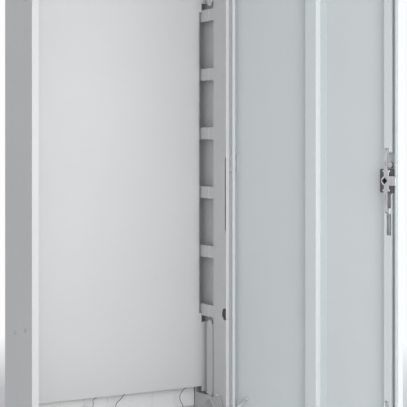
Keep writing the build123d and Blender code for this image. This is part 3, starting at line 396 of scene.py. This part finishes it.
def clamp_nut(name, centre, axis):
    """Washer and hexagon nut that hold a ring terminal on its stud."""
    form = bmesh.new()
    add_ring(form, centre, axis, [(r * MM, h * MM) for r, h in WASHER_RING])
    level = axis.cross(Vector((0, 0, 1))).normalized()
    other = axis.cross(level)
    rings = []
    for k in range(NUT_SIDES):
        turn = 2 * math.pi * k / NUT_SIDES
        flat = math.cos(math.pi / 6) / math.cos((turn % (math.pi / 3)) - math.pi / 6)
        out = math.cos(turn) * level + math.sin(turn) * other
        rings.append([
            form.verts.new(centre + r * MM * (flat if hexed else 1) * out + h * MM * axis)
            for r, h, hexed in NUT_LAYERS])
    for k in range(NUT_SIDES):
        first, second = rings[k], rings[(k + 1) % NUT_SIDES]
        for i in range(len(NUT_LAYERS)):
            j = (i + 1) % len(NUT_LAYERS)
            form.faces.new((first[i], first[j], second[j], second[i]))
    return finished(name, form, "zinc_steel", smooth=False)


STUD_ABOVE_HEX = 13 * MM
STRAP_STEPS = 26
REST_ANGLE = math.radians(102)


def stud_seat(node, axis):
    """Where a terminal sits on an earth stud, on top of its hexagon; axis points out of the sheet."""
    places = [vertex.co for vertex in NODES[node].data.vertices]
    reach = max(place.dot(axis) for place in places)
    tip = [place for place in places if place.dot(axis) > reach - 0.05 * MM]
    return sum(tip, Vector()) / len(tip) - STUD_ABOVE_HEX * axis


def earth_strap():
    """Braided strap from the body's earth stud round the flange to the door's earth stud."""
    body_axis = Vector((-1, 0, 0))
    body_seat = stud_seat("body_earth_stud", body_axis)
    door_axis = Vector((-math.sin(REST_ANGLE), math.cos(REST_ANGLE), 0))
    door_seat = stud_seat("door_earth_stud", door_axis)
    body_lug, start = ring_lug("earth_lug_body", body_seat, body_axis, Vector((0, -0.75, -0.65)))
    door_lug, end = ring_lug("earth_lug_door", door_seat, door_axis, Vector((0.1, 0.75, -0.65)))
    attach(body_lug, "cabinet")
    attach(door_lug, "door")
    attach(clamp_nut("earth_nut_body", body_seat + LUG_SHEET * body_axis, body_axis), "cabinet")
    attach(clamp_nut("earth_nut_door", door_seat + LUG_SHEET * door_axis, door_axis), "door")
    points = [
        start,
        start + Vector((-0.004, -0.016, -0.016)),
        Vector((0.352, -0.128, start.z - 0.032)),
        Vector((0.366, -0.160, start.z - 0.038)),
        end + Vector((-0.010, 0.018, -0.018)),
        end,
    ]
    strap = braid("earth_strap", smooth_path(points, STRAP_STEPS))
    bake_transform(strap)


earth_strap()


# ---------------------------------------------------------------- stage, light, camera

CAMERA_PLACE = (-2.0975, -4.2031, 1.0651)
CAMERA_HEADING = 30.22
CAMERA_LENS = 113.4
CAMERA_SHIFT = -0.1418
SENSOR_WIDTH = 36
BACKDROP = (0.98, 0.98, 0.985)
FLOOR_FADE = (1.1, 2.6)
FLOOR_REACH = 30
FLOOR_DROP = 0.5 * MM
FILL_COLOR = (0.96, 0.98, 1.0, 1)
FILL_STRENGTH = 0.62
# name, place, target, size in metres, power in watts
LIGHTS = (
    ("key", (3.2, -6.0, 1.6), (0, 0, 1.0), (2.0, 2.0), 55),
    ("fill", (-1.5, -6.0, 1.8), (0, 0, 1.0), (4.0, 3.0), 85),
    ("front", (0.3, -2.4, 0.9), (0.3, 0, 0.8), (1.2, 2.2), 19),
)


def paint_floor():
    """A plain pale floor that fades to white away from the cabinet, as seen by the camera."""
    mesh = bpy.data.meshes.new("floor")
    form = bmesh.new()
    bmesh.ops.create_grid(form, x_segments=2, y_segments=2, size=FLOOR_REACH)
    form.to_mesh(mesh)
    form.free()
    floor = bpy.data.objects.new("floor", mesh)
    bpy.context.scene.collection.objects.link(floor)
    floor.location.z = -FLOOR_DROP
    s = Shader("floor_paint")
    s.set("Base Color", s.tone(s.noise(0.5, 3.0), (0.82, 0.82, 0.83), (0.85, 0.85, 0.86)))
    s.set("Roughness", 0.8)
    radius = s.node("ShaderNodeVectorMath", operation="LENGTH")
    s.link(s.position, radius.inputs[0])
    far = s.spread(radius.outputs["Value"], 0.0, 1.0, *FLOOR_FADE)
    seen = s.node("ShaderNodeLightPath").outputs["Is Camera Ray"]
    share = s.node("ShaderNodeMath", operation="MULTIPLY")
    s.link(far, share.inputs[0])
    s.link(seen, share.inputs[1])
    glow = s.node("ShaderNodeEmission")
    glow.inputs["Color"].default_value = (*BACKDROP, 1)
    mix = s.node("ShaderNodeMixShader")
    s.link(share.outputs[0], mix.inputs["Fac"])
    s.link(s.surface.outputs[0], mix.inputs[1])
    s.link(glow.outputs[0], mix.inputs[2])
    s.link(mix.outputs[0], s.tree.nodes["Material Output"].inputs["Surface"])
    mesh.materials.append(s.material)


def soft_light(name, place, target, size, power):
    data = bpy.data.lights.new(name, "AREA")
    data.shape = "RECTANGLE"
    data.size, data.size_y = size
    data.energy = power
    lamp = bpy.data.objects.new(name, data)
    bpy.context.scene.collection.objects.link(lamp)
    lamp.location = place
    lamp.visible_camera = False
    lamp.rotation_euler = (Vector(target) - Vector(place)).to_track_quat("-Z", "Y").to_euler()


def light_studio():
    """White surroundings for the camera, a softer fill for the rest, and three broad lights in front."""
    world = bpy.data.worlds.new("studio")
    bpy.context.scene.world = world
    world.use_nodes = True
    tree = world.node_tree
    fill = tree.nodes["Background"]
    fill.inputs["Color"].default_value = FILL_COLOR
    fill.inputs["Strength"].default_value = FILL_STRENGTH
    seen = tree.nodes.new("ShaderNodeBackground")
    seen.inputs["Color"].default_value = (*BACKDROP, 1)
    path = tree.nodes.new("ShaderNodeLightPath")
    mix = tree.nodes.new("ShaderNodeMixShader")
    tree.links.new(path.outputs["Is Camera Ray"], mix.inputs["Fac"])
    tree.links.new(fill.outputs["Background"], mix.inputs[1])
    tree.links.new(seen.outputs["Background"], mix.inputs[2])
    tree.links.new(mix.outputs["Shader"], tree.nodes["World Output"].inputs["Surface"])
    for light in LIGHTS:
        soft_light(*light)


def shift_at_this_place(camera):
    """The lens is shifted only while the camera stands at CAMERA_PLACE, so any other view is centred."""
    shift = camera.data.driver_add("shift_y").driver
    shift.type = "SCRIPTED"
    place = shift.variables.new()
    place.name = "x"
    place.type = "TRANSFORMS"
    place.targets[0].id = camera
    place.targets[0].transform_type = "LOC_X"
    shift.expression = f"{CAMERA_SHIFT} if abs(x - ({CAMERA_PLACE[0]})) < 0.001 else 0.0"


def place_camera():
    data = bpy.data.cameras.new("camera")
    data.lens = CAMERA_LENS
    data.sensor_width = SENSOR_WIDTH
    camera = bpy.data.objects.new("camera", data)
    bpy.context.scene.collection.objects.link(camera)
    camera.location = CAMERA_PLACE
    camera.rotation_euler = (math.radians(90), 0, math.radians(-CAMERA_HEADING))
    bpy.context.scene.camera = camera
    shift_at_this_place(camera)


paint_floor()
light_studio()
place_camera()
bpy.context.scene.view_settings.view_transform = "Standard"
